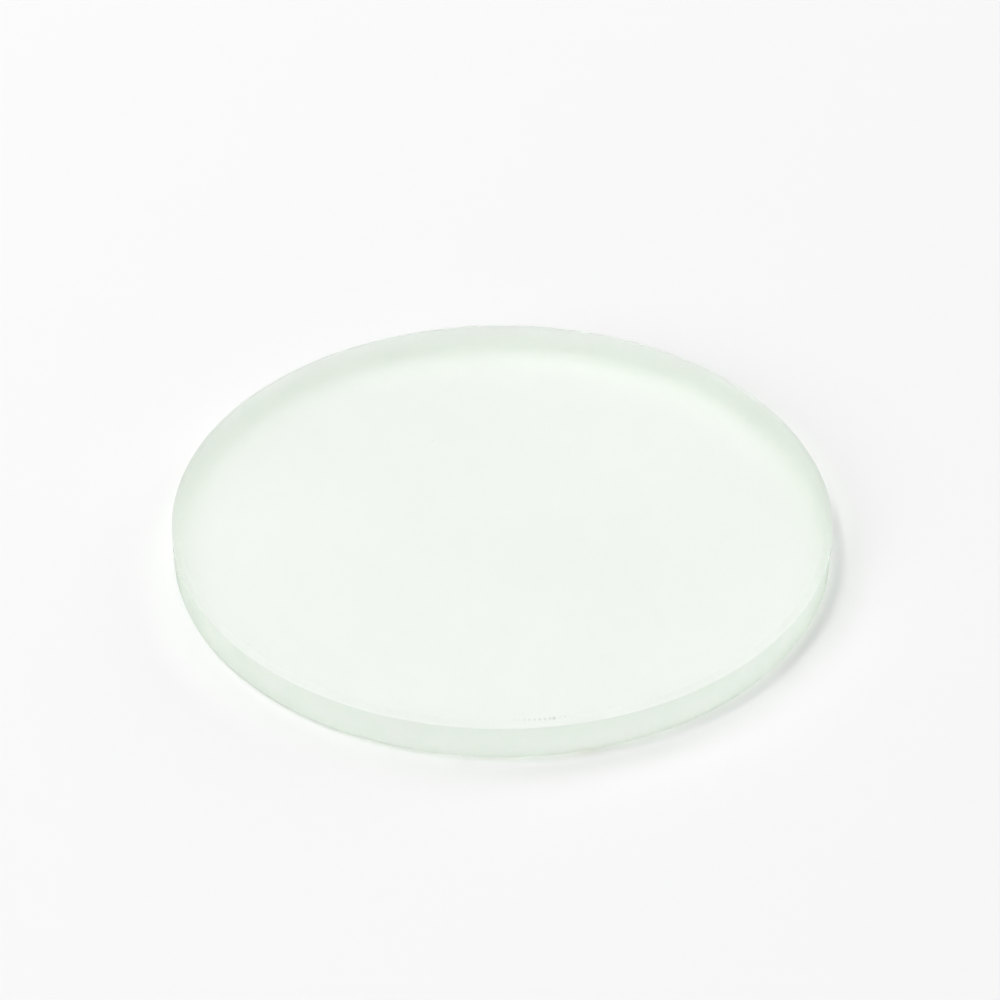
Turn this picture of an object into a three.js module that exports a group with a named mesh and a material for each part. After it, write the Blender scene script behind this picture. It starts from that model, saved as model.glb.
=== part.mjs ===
// Round ground-glass plate: one piece of float glass, satin on its face, with a ground
// edge and a narrow seamed bevel round the top rim and the bottom rim.
//
// Units are millimetres. +Z is up. The origin is the centre of the underside, so the
// plate stands on the plane z = 0 and its axis of symmetry is the Z axis.

import * as THREE from 'three';

// Driving dimensions.
const PLATE_DIAMETER = 95;
const PLATE_THICKNESS = 6;
// The seamed bevel is lapped at a shallow angle: it is wider on the face than on the edge.
const BEVEL_ON_FACE = 1;
const BEVEL_ON_EDGE = 0.48;
// Facets round the plate. At 180 a facet's middle lies 0.007 mm inside the true circle.
const FACETS_ROUND = 180;

const plateRadius = PLATE_DIAMETER / 2;

// Half of the plate's section, from the centre of the underside round to the centre of
// the top. X is the radius and Y the height.
function plateSection() {
  const faceRadius = plateRadius - BEVEL_ON_FACE;
  const edgeTop = PLATE_THICKNESS - BEVEL_ON_EDGE;
  return [
    new THREE.Vector2(0, 0),
    new THREE.Vector2(faceRadius, 0),
    new THREE.Vector2(plateRadius, BEVEL_ON_EDGE),
    new THREE.Vector2(plateRadius, edgeTop),
    new THREE.Vector2(faceRadius, PLATE_THICKNESS),
    new THREE.Vector2(0, PLATE_THICKNESS),
  ];
}

// Pale green soda-lime float glass with a satin surface.
function satinGlass() {
  return new THREE.MeshStandardMaterial({
    color: new THREE.Color(0.86, 0.91, 0.85),
    roughness: 0.55,
    metalness: 0,
    transparent: true,
    opacity: 0.8,
  });
}

function glassDisc() {
  const geometry = new THREE.LatheGeometry(plateSection(), FACETS_ROUND);
  // A lathe turns its section about Y. This stands that axis up along Z.
  geometry.rotateX(Math.PI / 2);
  const disc = new THREE.Mesh(geometry, satinGlass());
  disc.name = 'glass_disc';
  return disc;
}

const plate = new THREE.Group();
plate.add(glassDisc());

export default plate;
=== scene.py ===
"""Looks of a round frosted glass plate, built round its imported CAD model.

The plate is one piece of pale green float glass. Its top is satin-blasted, its underside
is polished, and its edge is ground, with a narrow seamed bevel round both rims that has
taken a few small chips. Units are metres, +Z is up, and the origin is the centre of the
underside. Azimuths are in degrees round +Z: 0 is towards the camera, 90 to its right.
"""

import math

import bpy
import numpy as np
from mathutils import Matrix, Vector


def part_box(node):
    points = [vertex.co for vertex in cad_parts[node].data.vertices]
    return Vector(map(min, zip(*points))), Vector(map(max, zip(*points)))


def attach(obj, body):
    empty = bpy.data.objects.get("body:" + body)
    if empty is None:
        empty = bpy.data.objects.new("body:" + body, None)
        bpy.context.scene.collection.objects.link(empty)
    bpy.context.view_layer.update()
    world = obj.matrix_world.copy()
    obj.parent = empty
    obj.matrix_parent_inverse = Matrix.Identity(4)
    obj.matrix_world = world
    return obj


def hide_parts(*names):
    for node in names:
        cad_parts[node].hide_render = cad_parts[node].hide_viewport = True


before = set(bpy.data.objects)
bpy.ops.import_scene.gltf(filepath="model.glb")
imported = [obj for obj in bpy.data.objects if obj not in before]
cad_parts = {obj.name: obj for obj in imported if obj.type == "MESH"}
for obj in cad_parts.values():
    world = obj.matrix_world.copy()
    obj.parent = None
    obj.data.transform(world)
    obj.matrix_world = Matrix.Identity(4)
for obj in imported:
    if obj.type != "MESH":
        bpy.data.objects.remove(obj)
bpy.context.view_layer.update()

MM = 0.001
CAD_NODE = "glass_disc"
BODY = "root"


def direction(azimuth, elevation):
    """A unit vector pointing out from the plate."""
    a, e = math.radians(azimuth), math.radians(elevation)
    return Vector((math.sin(a) * math.cos(e), -math.cos(a) * math.cos(e), math.sin(e)))


# ---------------------------------------------------------------- the plate's section

# The bevel's two widths, as part.mjs has them: the frame's box doesn't give these.
BEVEL_ON_FACE = 1.0 * MM
BEVEL_ON_EDGE = 0.48 * MM
# How far the bevel's corners are rubbed round.
CORNER_RADIUS = 0.14 * MM
CORNER_STEPS = 5
# Rings of points across each bevel and up the wall, and on a face as shares of its radius.
BEVEL_RINGS = 7
WALL_RINGS = 24
FACE_RINGS = (0.3, 0.6, 0.8, 0.9, 0.95)

# Zones of the surface, stored on the mesh for the material.
SATIN_FACE = 0.0
GROUND_EDGE = 1.0
POLISHED_FACE = 2.0
TOP_BEVEL = 3.0
TOP_CORNER = 4.0
FOOT_BEVEL = 5.0
FOOT_CORNER = 6.0


def fillet(before, corner, after, radius, steps):
    """Points of an arc that rounds a corner of the section."""
    a, c, b = (np.array(p, float) for p in (before, corner, after))
    u = (a - c) / np.linalg.norm(a - c)
    w = (b - c) / np.linalg.norm(b - c)
    half = 0.5 * math.acos(float(np.clip(u @ w, -1, 1)))
    setback = radius / math.tan(half)
    middle = (u + w) / np.linalg.norm(u + w)
    centre = c + middle * radius / math.sin(half)
    start, end = c + u * setback - centre, c + w * setback - centre
    sweep = math.acos(float(np.clip(start @ end / radius**2, -1, 1)))
    points = []
    for i in range(steps + 1):
        k = i / steps
        p = (math.sin((1 - k) * sweep) * start + math.sin(k * sweep) * end) / math.sin(sweep)
        points.append(centre + p)
    return points


def spaced(start, end, count):
    """Points strictly between two points of the section."""
    a, b = np.array(start, float), np.array(end, float)
    return [a + (b - a) * (i + 1) / (count + 1) for i in range(count)]


def corner(arc, zone, next_zone):
    """A rubbed corner's points, the last of which starts the zone that follows."""
    return [(p, zone) for p in arc[:-1]] + [(arc[-1], next_zone)]


def plate_section(radius, thickness):
    """The plate's section from near the middle of the underside to near the middle of the
    top, as (radius, height) points, each with the zone of the face that follows it."""
    face = radius - BEVEL_ON_FACE
    corners = [
        (0.0, 0.0),
        (face, 0.0),
        (radius, BEVEL_ON_EDGE),
        (radius, thickness - BEVEL_ON_EDGE),
        (face, thickness),
        (0.0, thickness),
    ]
    arcs = [
        fillet(corners[i - 1], corners[i], corners[i + 1], CORNER_RADIUS, CORNER_STEPS)
        for i in range(1, 5)
    ]
    section = [((share * radius, 0.0), POLISHED_FACE) for share in FACE_RINGS]
    section += corner(arcs[0], FOOT_CORNER, FOOT_BEVEL)
    section += [(p, FOOT_BEVEL) for p in spaced(arcs[0][-1], arcs[1][0], BEVEL_RINGS)]
    section += corner(arcs[1], FOOT_CORNER, GROUND_EDGE)
    section += [(p, GROUND_EDGE) for p in spaced(arcs[1][-1], arcs[2][0], WALL_RINGS)]
    section += corner(arcs[2], TOP_CORNER, TOP_BEVEL)
    section += [(p, TOP_BEVEL) for p in spaced(arcs[2][-1], arcs[3][0], BEVEL_RINGS)]
    section += corner(arcs[3], TOP_CORNER, SATIN_FACE)
    section += [((share * radius, thickness), SATIN_FACE) for share in reversed(FACE_RINGS)]
    return section


# ---------------------------------------------------------------- the plate's mesh

SEGMENTS = 1380
SEED = 7
# Hand seaming lets the bevel's width wander by this share of itself, in curves that go
# round the plate this many times.
BEVEL_WANDER = 0.07
BEVEL_WAVES = range(2, 14)
# How far the ground wall strays from a true cylinder.
WALL_WANDER = 0.012 * MM
WALL_WAVES = range(3, 40)

# Chips in the top rim at chosen azimuths, each with its reach in mm.
CHOSEN_CHIPS = [(58, 0.34), (-71, 0.28)]
# The chips scattered round both rims: how many, and their least and greatest reach in mm.
CHIP_COUNT = 26
CHIP_REACH = (0.14, 0.3)
# A chip's ball leans out of the rim at this angle, and its centre stands off the rim by
# this share of its reach.
CHIP_LEAN = math.radians(40)
CHIP_STANDOFF = 0.72


def wave(angle, generator, orders):
    """A smooth closed curve round the plate, between about -1 and 1."""
    total = np.zeros_like(angle)
    weight = 0.0
    for k in orders:
        strength = 1.0 / (1 + k - orders[0]) ** 0.5
        total += strength * np.sin(k * angle + generator.uniform(0, 2 * math.pi))
        weight += strength**2
    return total / math.sqrt(2 * weight)


def plate_points(section, radius, thickness):
    """Rings of points round the section, with the wander of a hand-ground edge."""
    generator = np.random.default_rng(SEED)
    angle = np.arange(SEGMENTS) * 2 * math.pi / SEGMENTS
    wander_low = BEVEL_WANDER * wave(angle, generator, BEVEL_WAVES)
    wander_high = BEVEL_WANDER * wave(angle, generator, BEVEL_WAVES)
    wall = WALL_WANDER * (wave(angle, generator, WALL_WAVES) - 1.0)
    face = radius - BEVEL_ON_FACE
    rings = []
    for (r, z), _zone in section:
        ring_radius = np.full(SEGMENTS, float(r))
        ring_height = np.full(SEGMENTS, float(z))
        if r > face - 2 * CORNER_RADIUS:
            # 0 at the bevel's inner corner and 1 on the wall.
            out = np.clip((r - face) / BEVEL_ON_FACE, 0, 1)
            upper = z > thickness / 2
            wander = wander_high if upper else wander_low
            ring_radius -= (1 - out) * BEVEL_ON_FACE * wander
            ring_radius += out * wall
            # 1 at the rim's plane, fading to 0 up or down the wall.
            near = max(0.0, 1 - abs(z - (thickness if upper else 0)) / (2 * BEVEL_ON_EDGE))
            side = 1.0 if upper else -1.0
            ring_height -= side * out * near * BEVEL_ON_EDGE * wander
        x, y = ring_radius * np.sin(angle), -ring_radius * np.cos(angle)
        rings.append(np.stack([x, y, ring_height], 1))
    return np.array(rings)


def chip(points, azimuth, radius, height, reach, lean):
    """Scoops a shell-shaped chip out of a rim: points inside a ball go to its surface."""
    a = math.radians(azimuth)
    radial = np.array([math.sin(a), -math.cos(a), 0.0])
    outward = radial * math.cos(lean) + np.array([0.0, 0.0, 1.0]) * math.sin(lean)
    rim = radial * radius + np.array([0.0, 0.0, height])
    centre = rim + outward * reach * CHIP_STANDOFF
    flat = points.reshape(-1, 3)
    offset = flat - centre
    inside = np.linalg.norm(offset, axis=1) < reach
    along = offset[inside] @ outward
    across = offset[inside] - along[:, None] * outward
    depth = np.sqrt(np.maximum(reach**2 - (across**2).sum(1), 0))
    flat[inside] = centre + across - depth[:, None] * outward
    return flat.reshape(points.shape)


def chipped(points, radius, thickness):
    """Small chips: a few chosen ones and a scatter round both rims."""
    generator = np.random.default_rng(SEED + 1)
    top_corner = thickness - BEVEL_ON_EDGE
    for azimuth, reach in CHOSEN_CHIPS:
        points = chip(points, azimuth, radius, top_corner, reach * MM, CHIP_LEAN)
    for _ in range(CHIP_COUNT):
        azimuth = generator.uniform(-180, 180)
        reach = generator.uniform(*CHIP_REACH) * MM
        upper = generator.random() < 0.5
        height = top_corner if upper else BEVEL_ON_EDGE
        points = chip(points, azimuth, radius, height, reach, CHIP_LEAN if upper else -CHIP_LEAN)
    return points


def plate_faces(zones):
    """The faces between the rings and round the two middle points, with their zones."""
    last = (len(zones) - 1) * SEGMENTS
    bottom = last + SEGMENTS
    top = bottom + 1
    faces, face_zones = [], []
    for i in range(SEGMENTS):
        j = (i + 1) % SEGMENTS
        faces.append((bottom, j, i))
        face_zones.append(POLISHED_FACE)
        for k, zone in enumerate(zones[:-1]):
            low = k * SEGMENTS
            high = low + SEGMENTS
            faces.append((low + i, low + j, high + j, high + i))
            face_zones.append(zone)
        faces.append((last + i, last + j, top))
        face_zones.append(SATIN_FACE)
    return faces, face_zones


def plate_mesh(radius, thickness):
    section = plate_section(radius, thickness)
    rings = chipped(plate_points(section, radius, thickness), radius, thickness)
    points = [tuple(p) for p in rings.reshape(-1, 3)]
    points += [(0.0, 0.0, 0.0), (0.0, 0.0, thickness)]
    faces, face_zones = plate_faces([zone for _point, zone in section])
    mesh = bpy.data.meshes.new("frosted_plate")
    mesh.from_pydata(points, [], faces)
    mesh.update()
    zone = mesh.attributes.new("zone", "FLOAT", "FACE")
    zone.data.foreach_set("value", np.array(face_zones, np.float32))
    mesh.polygons.foreach_set("use_smooth", [True] * len(faces))
    return mesh


# ---------------------------------------------------------------- the glass

GLASS_IOR = 1.52
# The body's own colour, and how strongly it shows per metre of glass.
BODY_COLOUR = (0.54, 0.95, 0.44, 1.0)
BODY_DENSITY = 4.4

SATIN_ROUGHNESS = 0.9
GROUND_ROUGHNESS = 0.8
BEVEL_ROUGHNESS = 0.88
FOOT_ROUGHNESS = 0.85
TOP_CORNER_ROUGHNESS = 0.8
FOOT_CORNER_ROUGHNESS = 0.6
POLISHED_ROUGHNESS = 0.04
# How much a finger smudge on the underside adds.
SMUDGE_ROUGHNESS = 0.05
# Height of the blasted grain and of the grinding lines.
GRAIN_DEPTH = 0.008 * MM

# What each finish leaves of the light that crosses it.
CLEAN_GLASS = (1.0, 1.0, 1.0, 1.0)
CLOUDED_GLASS = (0.993, 0.996, 0.993, 1.0)
WORN_BEVEL = (0.975, 0.99, 0.975, 1.0)
GROUND_TINT = (0.92, 0.95, 0.91, 1.0)
GROUND_TINT_DEEP = (0.86, 0.93, 0.86, 1.0)
# Painted shade: the lower bevel is tinted darker so that less light crosses it. This darkens the
# floor's shadow at the plate's foot and draws a dark line along the foot.
FOOT_SHADE_TINT = (0.8, 0.88, 0.77, 1.0)
FOOT_SHADE_TINT_DEEP = (0.66, 0.78, 0.62, 1.0)
GREY_DUST = (0.6, 0.62, 0.58, 1.0)
DARK_DIRT = (0.1, 0.11, 0.09, 1.0)
FOOT_STREAK_BROWN = (0.3, 0.26, 0.12, 1.0)

# Noise scales, each about as many blotches as a metre would hold.
CLOUDS = 42.0
SMUDGES = 75.0
WALL_PATCHES = 170.0
MOTTLE = 520.0
GRAIN = 4200.0
STREAKS = 700.0
# Grinding lines run round the wall, so their noise is squeezed upwards.
STREAK_SQUEEZE = (1.0, 1.0, 9.0)

# Dust lies in cells of a grid, and only where a slower noise is low.
DUST_CELLS = 120.0
DUST_GROUPS = 90.0
DUST_LIMIT = 0.38
DUST_STRENGTH = 0.3

# Where the dirt and the dark streak at the foot are, from the photo: azimuths in degrees, and
# lengths in mm. Sizes and strengths in pairs are those at the ends of a row and in its middle.
NICKS_SPAN = (2.0, 12.0)
NICKS_COUNT = 13
NICK_SIZES = (0.24, 0.3)
NICK_STRENGTHS = (0.08, 0.2)
# How much one nick differs from the next, and how far the row's ends bow inwards.
NICK_UNEVENNESS = 0.4
NICKS_BOW = 0.15
# How far inside the bevel the row lies.
NICKS_INSET = 0.05
DEEPEST_NICK = 8.5
DEEPEST_SIZE = 0.38
DEEPEST_STRENGTH = 0.36
# Two specks on the face, each an azimuth and a distance from the middle.
SPECKS = [(22.0, 36.0), (-147.0, 19.0)]
SPECK_SIZE = 0.3
SPECK_STRENGTH = 0.1
# A dark brown streak along the lower bevel at the front right, darkest in its middle.
FOOT_STREAK_SPAN = (9.5, 18.0)
FOOT_STREAK_COUNT = 8
FOOT_STREAK_SIZES = (0.35, 0.5)
FOOT_STREAK_STRENGTHS = (0.3, 0.9)
FOOT_STREAK_HEIGHT = 0.25
# The dark streak's place across the lower bevel: 0 is its outer corner and 1 its inner one.
FOOT_STREAK_ACROSS = 0.3


def streak(span, count, radius, height, bow, sizes, strengths, unevenness):
    """A row of marks along the rim, (azimuth, radius, height, size, strength) each. Sizes
    and strengths are those at its ends and in its middle. Its ends lie `bow` further in."""
    generator = np.random.default_rng(SEED + 2)
    marks = []
    for i in range(count):
        along = i / (count - 1)
        swell = math.sin(math.pi * along)
        azimuth = span[0] + (span[1] - span[0]) * along
        size = sizes[0] + (sizes[1] - sizes[0]) * swell
        strength = strengths[0] + (strengths[1] - strengths[0]) * swell
        strength *= 1 + generator.uniform(-unevenness, unevenness)
        marks.append((azimuth, radius - bow * (1 - swell), height, size, strength))
    return marks


def face_marks(radius, thickness):
    """A row of dirt-filled nicks just inside the bevel at the front, and the specks."""
    top = thickness / MM
    row = (radius - BEVEL_ON_FACE) / MM - NICKS_INSET
    marks = streak(
        NICKS_SPAN, NICKS_COUNT, row, top, NICKS_BOW, NICK_SIZES, NICK_STRENGTHS, NICK_UNEVENNESS
    )
    marks.append((DEEPEST_NICK, row, top, DEEPEST_SIZE, DEEPEST_STRENGTH))
    for azimuth, distance in SPECKS:
        marks.append((azimuth, distance, top, SPECK_SIZE, SPECK_STRENGTH))
    return marks


def foot_marks(radius):
    """A dark brown streak along the lower bevel at the front right."""
    middle = (radius - FOOT_STREAK_ACROSS * BEVEL_ON_FACE) / MM
    return streak(
        FOOT_STREAK_SPAN, FOOT_STREAK_COUNT, middle, FOOT_STREAK_HEIGHT, 0.0, FOOT_STREAK_SIZES, FOOT_STREAK_STRENGTHS, 0.0
    )


class Nodes:
    """Short names for building a material's nodes."""

    def __init__(self, name):
        self.material = bpy.data.materials.new(name)
        self.material.use_nodes = True
        self.tree = self.material.node_tree
        self.tree.nodes.clear()

    def add(self, kind, **inputs):
        node = self.tree.nodes.new(kind)
        for name, value in inputs.items():
            self.put(node.inputs[name], value)
        return node

    def put(self, socket, value):
        if isinstance(value, bpy.types.NodeSocket):
            self.tree.links.new(value, socket)
        else:
            socket.default_value = value

    def maths(self, operation, *values):
        node = self.tree.nodes.new("ShaderNodeMath")
        node.operation = operation
        for socket, value in zip(node.inputs, values):
            self.put(socket, value)
        return node.outputs[0]

    def vector_maths(self, operation, first, second):
        node = self.tree.nodes.new("ShaderNodeVectorMath")
        node.operation = operation
        self.put(node.inputs[0], first)
        self.put(node.inputs[1], second)
        return node

    def noise(self, vector, scale, detail, roughness=0.5):
        node = self.add("ShaderNodeTexNoise", Scale=scale, Detail=detail, Roughness=roughness)
        self.put(node.inputs["Vector"], vector)
        return node.outputs["Fac"]

    def ramp(self, value, low, high, low_out=0.0, high_out=1.0):
        """The value eased from one output at `low` to the other at `high`."""
        node = self.add("ShaderNodeMapRange", Value=value)
        node.interpolation_type = "SMOOTHSTEP"
        self.put(node.inputs["From Min"], low)
        self.put(node.inputs["From Max"], high)
        self.put(node.inputs["To Min"], low_out)
        self.put(node.inputs["To Max"], high_out)
        return node.outputs["Result"]

    def varied(self, pattern, middle, swing):
        """A value that a pattern between 0 and 1 moves evenly to both sides of its middle."""
        return self.maths("MULTIPLY_ADD", pattern, swing, middle - swing / 2)

    def mix(self, factor, first, second):
        node = self.tree.nodes.new("ShaderNodeMix")
        node.data_type = "RGBA"
        self.put(node.inputs["Factor"], factor)
        self.put(node.inputs[6], first)
        self.put(node.inputs[7], second)
        return node.outputs[2]

    def mix_value(self, factor, first, second):
        node = self.tree.nodes.new("ShaderNodeMix")
        self.put(node.inputs["Factor"], factor)
        self.put(node.inputs[2], first)
        self.put(node.inputs[3], second)
        return node.outputs[0]

    def spot(self, place, point, size):
        """1 at a point of the surface, fading to 0 at `size` from it."""
        distance = self.vector_maths("DISTANCE", place, point).outputs["Value"]
        return self.ramp(distance, 0.35 * size, size, 1.0, 0.0)


class Surface:
    """Where a point of the plate's surface is, and the patterns that its finishes share."""

    def __init__(self, n):
        zone = n.add("ShaderNodeAttribute")
        zone.attribute_name = "zone"
        self.nodes = n
        self.zone = zone.outputs["Fac"]
        self.place = n.add("ShaderNodeTexCoord").outputs["Object"]
        self.cloud = n.noise(self.place, CLOUDS, 4.0, 0.6)
        self.mottle = n.noise(self.place, MOTTLE, 3.0, 0.6)
        squeezed = n.vector_maths("MULTIPLY", self.place, STREAK_SQUEEZE).outputs["Vector"]
        self.streaks = n.noise(squeezed, STREAKS, 4.0, 0.65)

    def on(self, zone):
        """1 on one zone and 0 elsewhere."""
        return self.nodes.maths("COMPARE", self.zone, zone, 0.25)


def finish_roughness(n, surface):
    rough = n.varied(surface.cloud, SATIN_ROUGHNESS, 0.08)
    finishes = [
        (GROUND_EDGE, surface.streaks, GROUND_ROUGHNESS, 0.16),
        (TOP_BEVEL, surface.mottle, BEVEL_ROUGHNESS, 0.16),
        (FOOT_BEVEL, surface.mottle, FOOT_ROUGHNESS, 0.1),
        (TOP_CORNER, surface.mottle, TOP_CORNER_ROUGHNESS, 0.1),
        (FOOT_CORNER, surface.mottle, FOOT_CORNER_ROUGHNESS, 0.2),
    ]
    for zone, pattern, middle, swing in finishes:
        rough = n.mix_value(surface.on(zone), rough, n.varied(pattern, middle, swing))
    smudge = n.ramp(n.noise(surface.place, SMUDGES, 3.0, 0.7), 0.5, 0.68)
    polished = n.maths("MULTIPLY_ADD", smudge, SMUDGE_ROUGHNESS, POLISHED_ROUGHNESS)
    return n.mix_value(surface.on(POLISHED_FACE), rough, polished)


def finish_colour(n, surface):
    colour = n.mix(n.ramp(surface.cloud, 0.35, 0.65), CLEAN_GLASS, CLOUDED_GLASS)
    patches = n.noise(surface.place, WALL_PATCHES, 2.0, 0.5)
    streaked = n.maths("MULTIPLY_ADD", patches, 0.6, n.maths("MULTIPLY", surface.streaks, 0.4))
    mottled = n.ramp(surface.mottle, 0.35, 0.65)
    finishes = [
        (GROUND_EDGE, n.ramp(streaked, 0.38, 0.62), GROUND_TINT, GROUND_TINT_DEEP),
        (TOP_BEVEL, mottled, CLEAN_GLASS, WORN_BEVEL),
        # The lower bevel's darker tint is painted shade at the plate's foot.
        (FOOT_BEVEL, mottled, FOOT_SHADE_TINT, FOOT_SHADE_TINT_DEEP),
    ]
    for zone, pattern, light, deep in finishes:
        colour = n.mix(surface.on(zone), colour, n.mix(pattern, light, deep))
    return colour


def dust_mask(n, surface):
    """A few specks on the satin face."""
    cells = n.tree.nodes.new("ShaderNodeTexVoronoi")
    cells.voronoi_dimensions = "2D"
    n.put(cells.inputs["Vector"], surface.place)
    n.put(cells.inputs["Scale"], DUST_CELLS)
    speck = n.ramp(cells.outputs["Distance"], 0.008, 0.022, 1.0, 0.0)
    kept = n.maths("LESS_THAN", n.noise(surface.place, DUST_GROUPS, 0.0), DUST_LIMIT)
    speck = n.maths("MULTIPLY", n.maths("MULTIPLY", speck, kept), surface.on(SATIN_FACE))
    return n.maths("MULTIPLY", speck, DUST_STRENGTH)


def dark_mark_mask(n, surface, marks):
    """How dark marks make the surface, from marks of (azimuth, radius, height, size, strength).
    """
    total = None
    for azimuth, radius, height, size, strength in marks:
        point = (direction(azimuth, 0) * radius + Vector((0, 0, height))) * MM
        mark = n.maths("MULTIPLY", n.spot(surface.place, point, size * MM), strength)
        total = mark if total is None else n.maths("MAXIMUM", total, mark)
    return total


def grain_normal(n, surface):
    """Blasted grain on the top and its bevel, and grinding lines on the wall."""
    grain = n.noise(surface.place, GRAIN, 2.0, 0.6)
    blasted = n.maths("ADD", surface.on(SATIN_FACE), surface.on(TOP_BEVEL))
    height = n.maths("MULTIPLY", blasted, grain)
    height = n.maths("MULTIPLY_ADD", surface.on(GROUND_EDGE), surface.streaks, height)
    bump = n.add("ShaderNodeBump", Height=height, Strength=1.0, Distance=GRAIN_DEPTH)
    return bump.outputs["Normal"]


def frosted_glass(radius, thickness):
    """Pale green glass whose finish changes from zone to zone of the surface."""
    n = Nodes("frosted_glass")
    surface = Surface(n)
    colour = finish_colour(n, surface)
    colour = n.mix(dust_mask(n, surface), colour, GREY_DUST)
    colour = n.mix(dark_mark_mask(n, surface, face_marks(radius, thickness)), colour, DARK_DIRT)
    # The dark brown streak along the lower bevel at the front right.
    colour = n.mix(dark_mark_mask(n, surface, foot_marks(radius)), colour, FOOT_STREAK_BROWN)

    shader = n.add("ShaderNodeBsdfPrincipled", IOR=GLASS_IOR)
    shader.inputs["Transmission Weight"].default_value = 1.0
    n.put(shader.inputs["Base Color"], colour)
    n.put(shader.inputs["Roughness"], finish_roughness(n, surface))
    n.put(shader.inputs["Normal"], grain_normal(n, surface))

    absorb = n.add("ShaderNodeVolumeAbsorption", Color=BODY_COLOUR, Density=BODY_DENSITY)
    n.add("ShaderNodeOutputMaterial", Surface=shader.outputs[0], Volume=absorb.outputs[0])
    return n.material


def make_plate():
    low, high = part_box(CAD_NODE)
    radius = (high.x - low.x) / 2
    thickness = high.z - low.z
    mesh = plate_mesh(radius, thickness)
    plate = bpy.data.objects.new("frosted_plate", mesh)
    bpy.context.scene.collection.objects.link(plate)
    mesh.materials.append(frosted_glass(radius, thickness))
    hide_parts(CAD_NODE)
    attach(plate, BODY)


# ---------------------------------------------------------------- the studio

FLOOR_SIDE = 8.0
FLOOR_WHITE = (0.9, 0.9, 0.9, 1.0)
# The floor lies this far under the plate, so that the two don't share a plane.
FLOOR_DROP = 0.03 * MM

SKY_STRENGTH = 0.35
# Pale studio walls stand round the horizon. They are plain up to the first elevation in
# degrees, and have faded into the sky at the second.
HORIZON_STRENGTH = 0.9
HORIZON_TOP = 4.0
SKY_START = 14.0

SOFTBOX_DISTANCE = 3.0
# The rig: each softbox's azimuth and elevation, its brightness, its side in m.
SOFTBOXES = [
    ("front_left", -50, 25, 0.35, 1.5),
    ("overhead_left", -90, 70, 0.25, 0.6),
    ("back_left", -120, 50, 0.2, 1.5),
    ("back", 180, 50, 0.15, 1.5),
    ("back_right", 130, 22, 0.2, 1.5),
]

CAMERA_ELEVATION = 38.0
CAMERA_DISTANCE = 0.4158
CAMERA_LENS = 102.9
CAMERA_SENSOR = 36.0
# The camera looks at a point just behind the plate's middle.
CAMERA_AIM = Vector((-0.3, 9.3, 0.0)) * MM


def make_floor():
    half = FLOOR_SIDE / 2
    corners = [(-half, -half), (half, -half), (half, half), (-half, half)]
    mesh = bpy.data.meshes.new("studio_floor")
    mesh.from_pydata([(x, y, -FLOOR_DROP) for x, y in corners], [], [(0, 1, 2, 3)])
    floor = bpy.data.objects.new("studio_floor", mesh)
    bpy.context.scene.collection.objects.link(floor)
    n = Nodes("white_floor")
    shader = n.add("ShaderNodeBsdfDiffuse", Color=FLOOR_WHITE, Roughness=0.0)
    n.add("ShaderNodeOutputMaterial", Surface=shader.outputs[0])
    mesh.materials.append(n.material)


def make_world():
    """A grey sky that fades to the pale walls of the studio near the horizon."""
    world = bpy.data.worlds.new("studio")
    world.use_nodes = True
    tree = world.node_tree
    place = tree.nodes.new("ShaderNodeTexCoord")
    height = tree.nodes.new("ShaderNodeSeparateXYZ")
    tree.links.new(place.outputs["Generated"], height.inputs[0])
    fade = tree.nodes.new("ShaderNodeMapRange")
    fade.interpolation_type = "SMOOTHSTEP"
    tree.links.new(height.outputs["Z"], fade.inputs["Value"])
    fade.inputs["From Min"].default_value = math.sin(math.radians(HORIZON_TOP))
    fade.inputs["From Max"].default_value = math.sin(math.radians(SKY_START))
    fade.inputs["To Min"].default_value = HORIZON_STRENGTH
    fade.inputs["To Max"].default_value = SKY_STRENGTH
    background = tree.nodes["Background"]
    background.inputs["Color"].default_value = (1.0, 1.0, 1.0, 1.0)
    tree.links.new(fade.outputs["Result"], background.inputs["Strength"])
    bpy.context.scene.world = world


def make_softbox(name, azimuth, elevation, brightness, side):
    """A square soft light aimed at the plate. Brightness is the share of a white sky's
    light that it would throw on a card facing it."""
    light = bpy.data.lights.new(name, "AREA")
    light.shape = "SQUARE"
    light.size = side
    light.energy = brightness * math.pi**2 * SOFTBOX_DISTANCE**2
    softbox = bpy.data.objects.new(name, light)
    bpy.context.scene.collection.objects.link(softbox)
    out = direction(azimuth, elevation)
    softbox.location = out * SOFTBOX_DISTANCE
    softbox.rotation_euler = out.to_track_quat("Z", "Y").to_euler()


def make_camera():
    """The photograph's view: from 38 degrees up, with a long lens."""
    data = bpy.data.cameras.new("camera")
    data.lens = CAMERA_LENS
    data.sensor_width = CAMERA_SENSOR
    data.clip_start = 0.01
    data.clip_end = 50.0
    camera = bpy.data.objects.new("camera", data)
    bpy.context.scene.collection.objects.link(camera)
    lower_rim = Vector((0, 0, BEVEL_ON_EDGE))
    camera.location = direction(0, CAMERA_ELEVATION) * CAMERA_DISTANCE + lower_rim
    camera.rotation_euler = (camera.location - CAMERA_AIM).to_track_quat("Z", "Y").to_euler()
    bpy.context.scene.camera = camera


make_plate()
make_floor()
make_world()
for softbox in SOFTBOXES:
    make_softbox(*softbox)
make_camera()
bpy.context.scene.view_settings.view_transform = "Standard"

bpy.context.view_layer.update()
